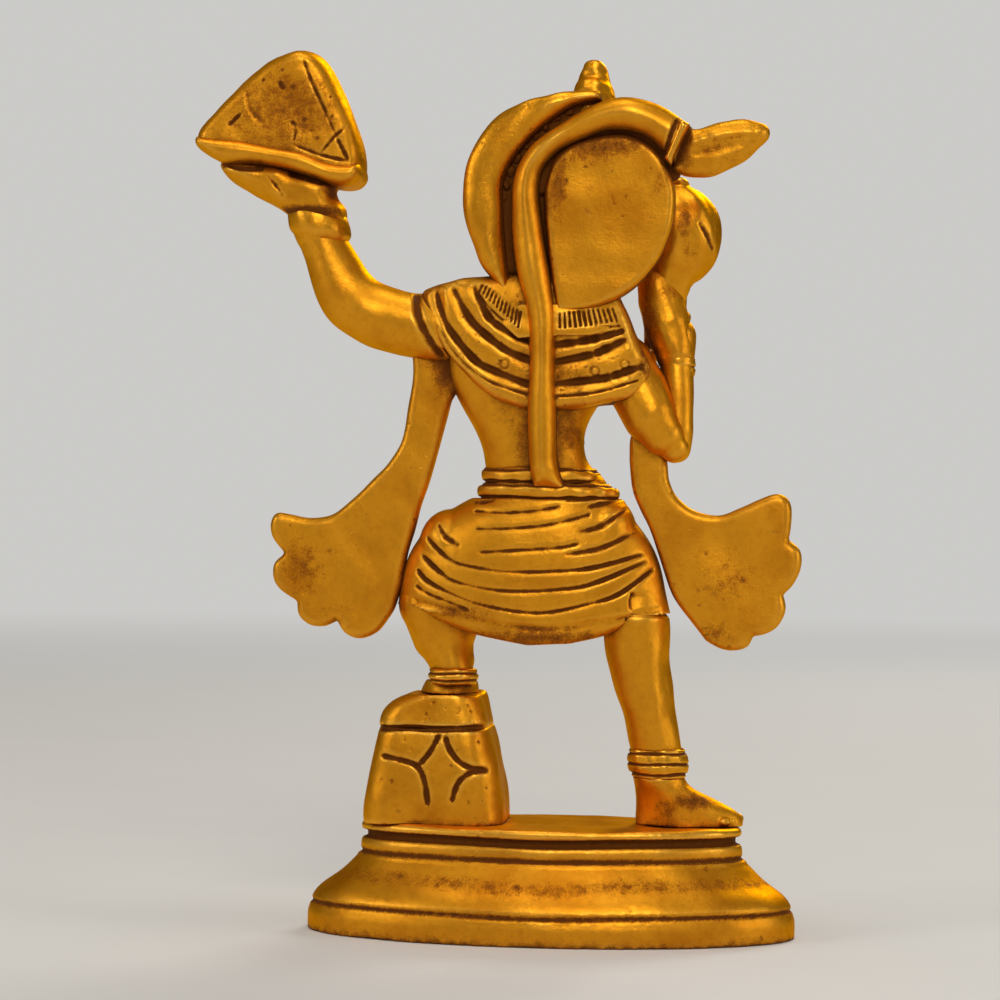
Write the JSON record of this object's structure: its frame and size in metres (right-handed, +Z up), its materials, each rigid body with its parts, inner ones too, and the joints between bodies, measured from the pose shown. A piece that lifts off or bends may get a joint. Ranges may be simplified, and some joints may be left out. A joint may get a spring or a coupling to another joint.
{
  "type": "cast brass figure on an oval plinth",
  "caption": "Cast brass standing figure with a raised mountain, a mace, flaring shawl ends and a looping tail, on a stepped oval plinth that is hollow underneath.",
  "frame": {"origin": "middle of the plinth's resting face", "axes": "+Z up, the figure faces -Y, and its own left is +X"},
  "size_m": [0.1398, 0.056, 0.2025],
  "materials": {
    "body_brass": "satin cast brass, hand filed, dark brown in the recesses",
    "cloth_brass": "satin cast brass with chased fold lines that hold dark patina",
    "jewel_brass": "satin cast brass, rubbed bright on the high spots",
    "base_brass": "satin cast brass with turned-looking bands and dark patina in the grooves"
  },
  "bodies": {
    "root": {"crown": "jewel_brass", "crown_band": "jewel_brass", "crown_finial": "jewel_brass", "dhoti": "cloth_brass", "front_pleats": "cloth_brass", "halo": "jewel_brass", "halo_beads": "jewel_brass", "halo_rim": "jewel_brass", "head": "body_brass", "head_plate": "body_brass", "left_anklet": "jewel_brass", "left_arm": "body_brass", "left_bracelet": "jewel_brass", "left_earring": "jewel_brass", "left_foot": "body_brass", "left_hand": "body_brass", "left_leg": "body_brass", "left_shawl_end": "cloth_brass", "lower_waist_band": "cloth_brass", "mace_head": "body_brass", "mace_shaft": "body_brass", "mountain": "base_brass", "mountain_ledge": "base_brass", "neck_ruff": "cloth_brass", "necklace": "cloth_brass", "plinth": "base_brass", "right_anklet": "jewel_brass", "right_bracelet": "jewel_brass", "right_earring": "jewel_brass", "right_foot": "body_brass", "right_forearm": "body_brass", "right_hand": "body_brass", "right_leg": "body_brass", "right_shawl_end": "cloth_brass", "right_upper_arm": "body_brass", "rock_block": "base_brass", "rock_slab": "base_brass", "shoulder_cape": "cloth_brass", "tail": "body_brass", "tail_ring": "jewel_brass", "tail_tuft": "body_brass", "torso": "body_brass", "upper_waist_band": "cloth_brass"}
  },
  "joints": []
}
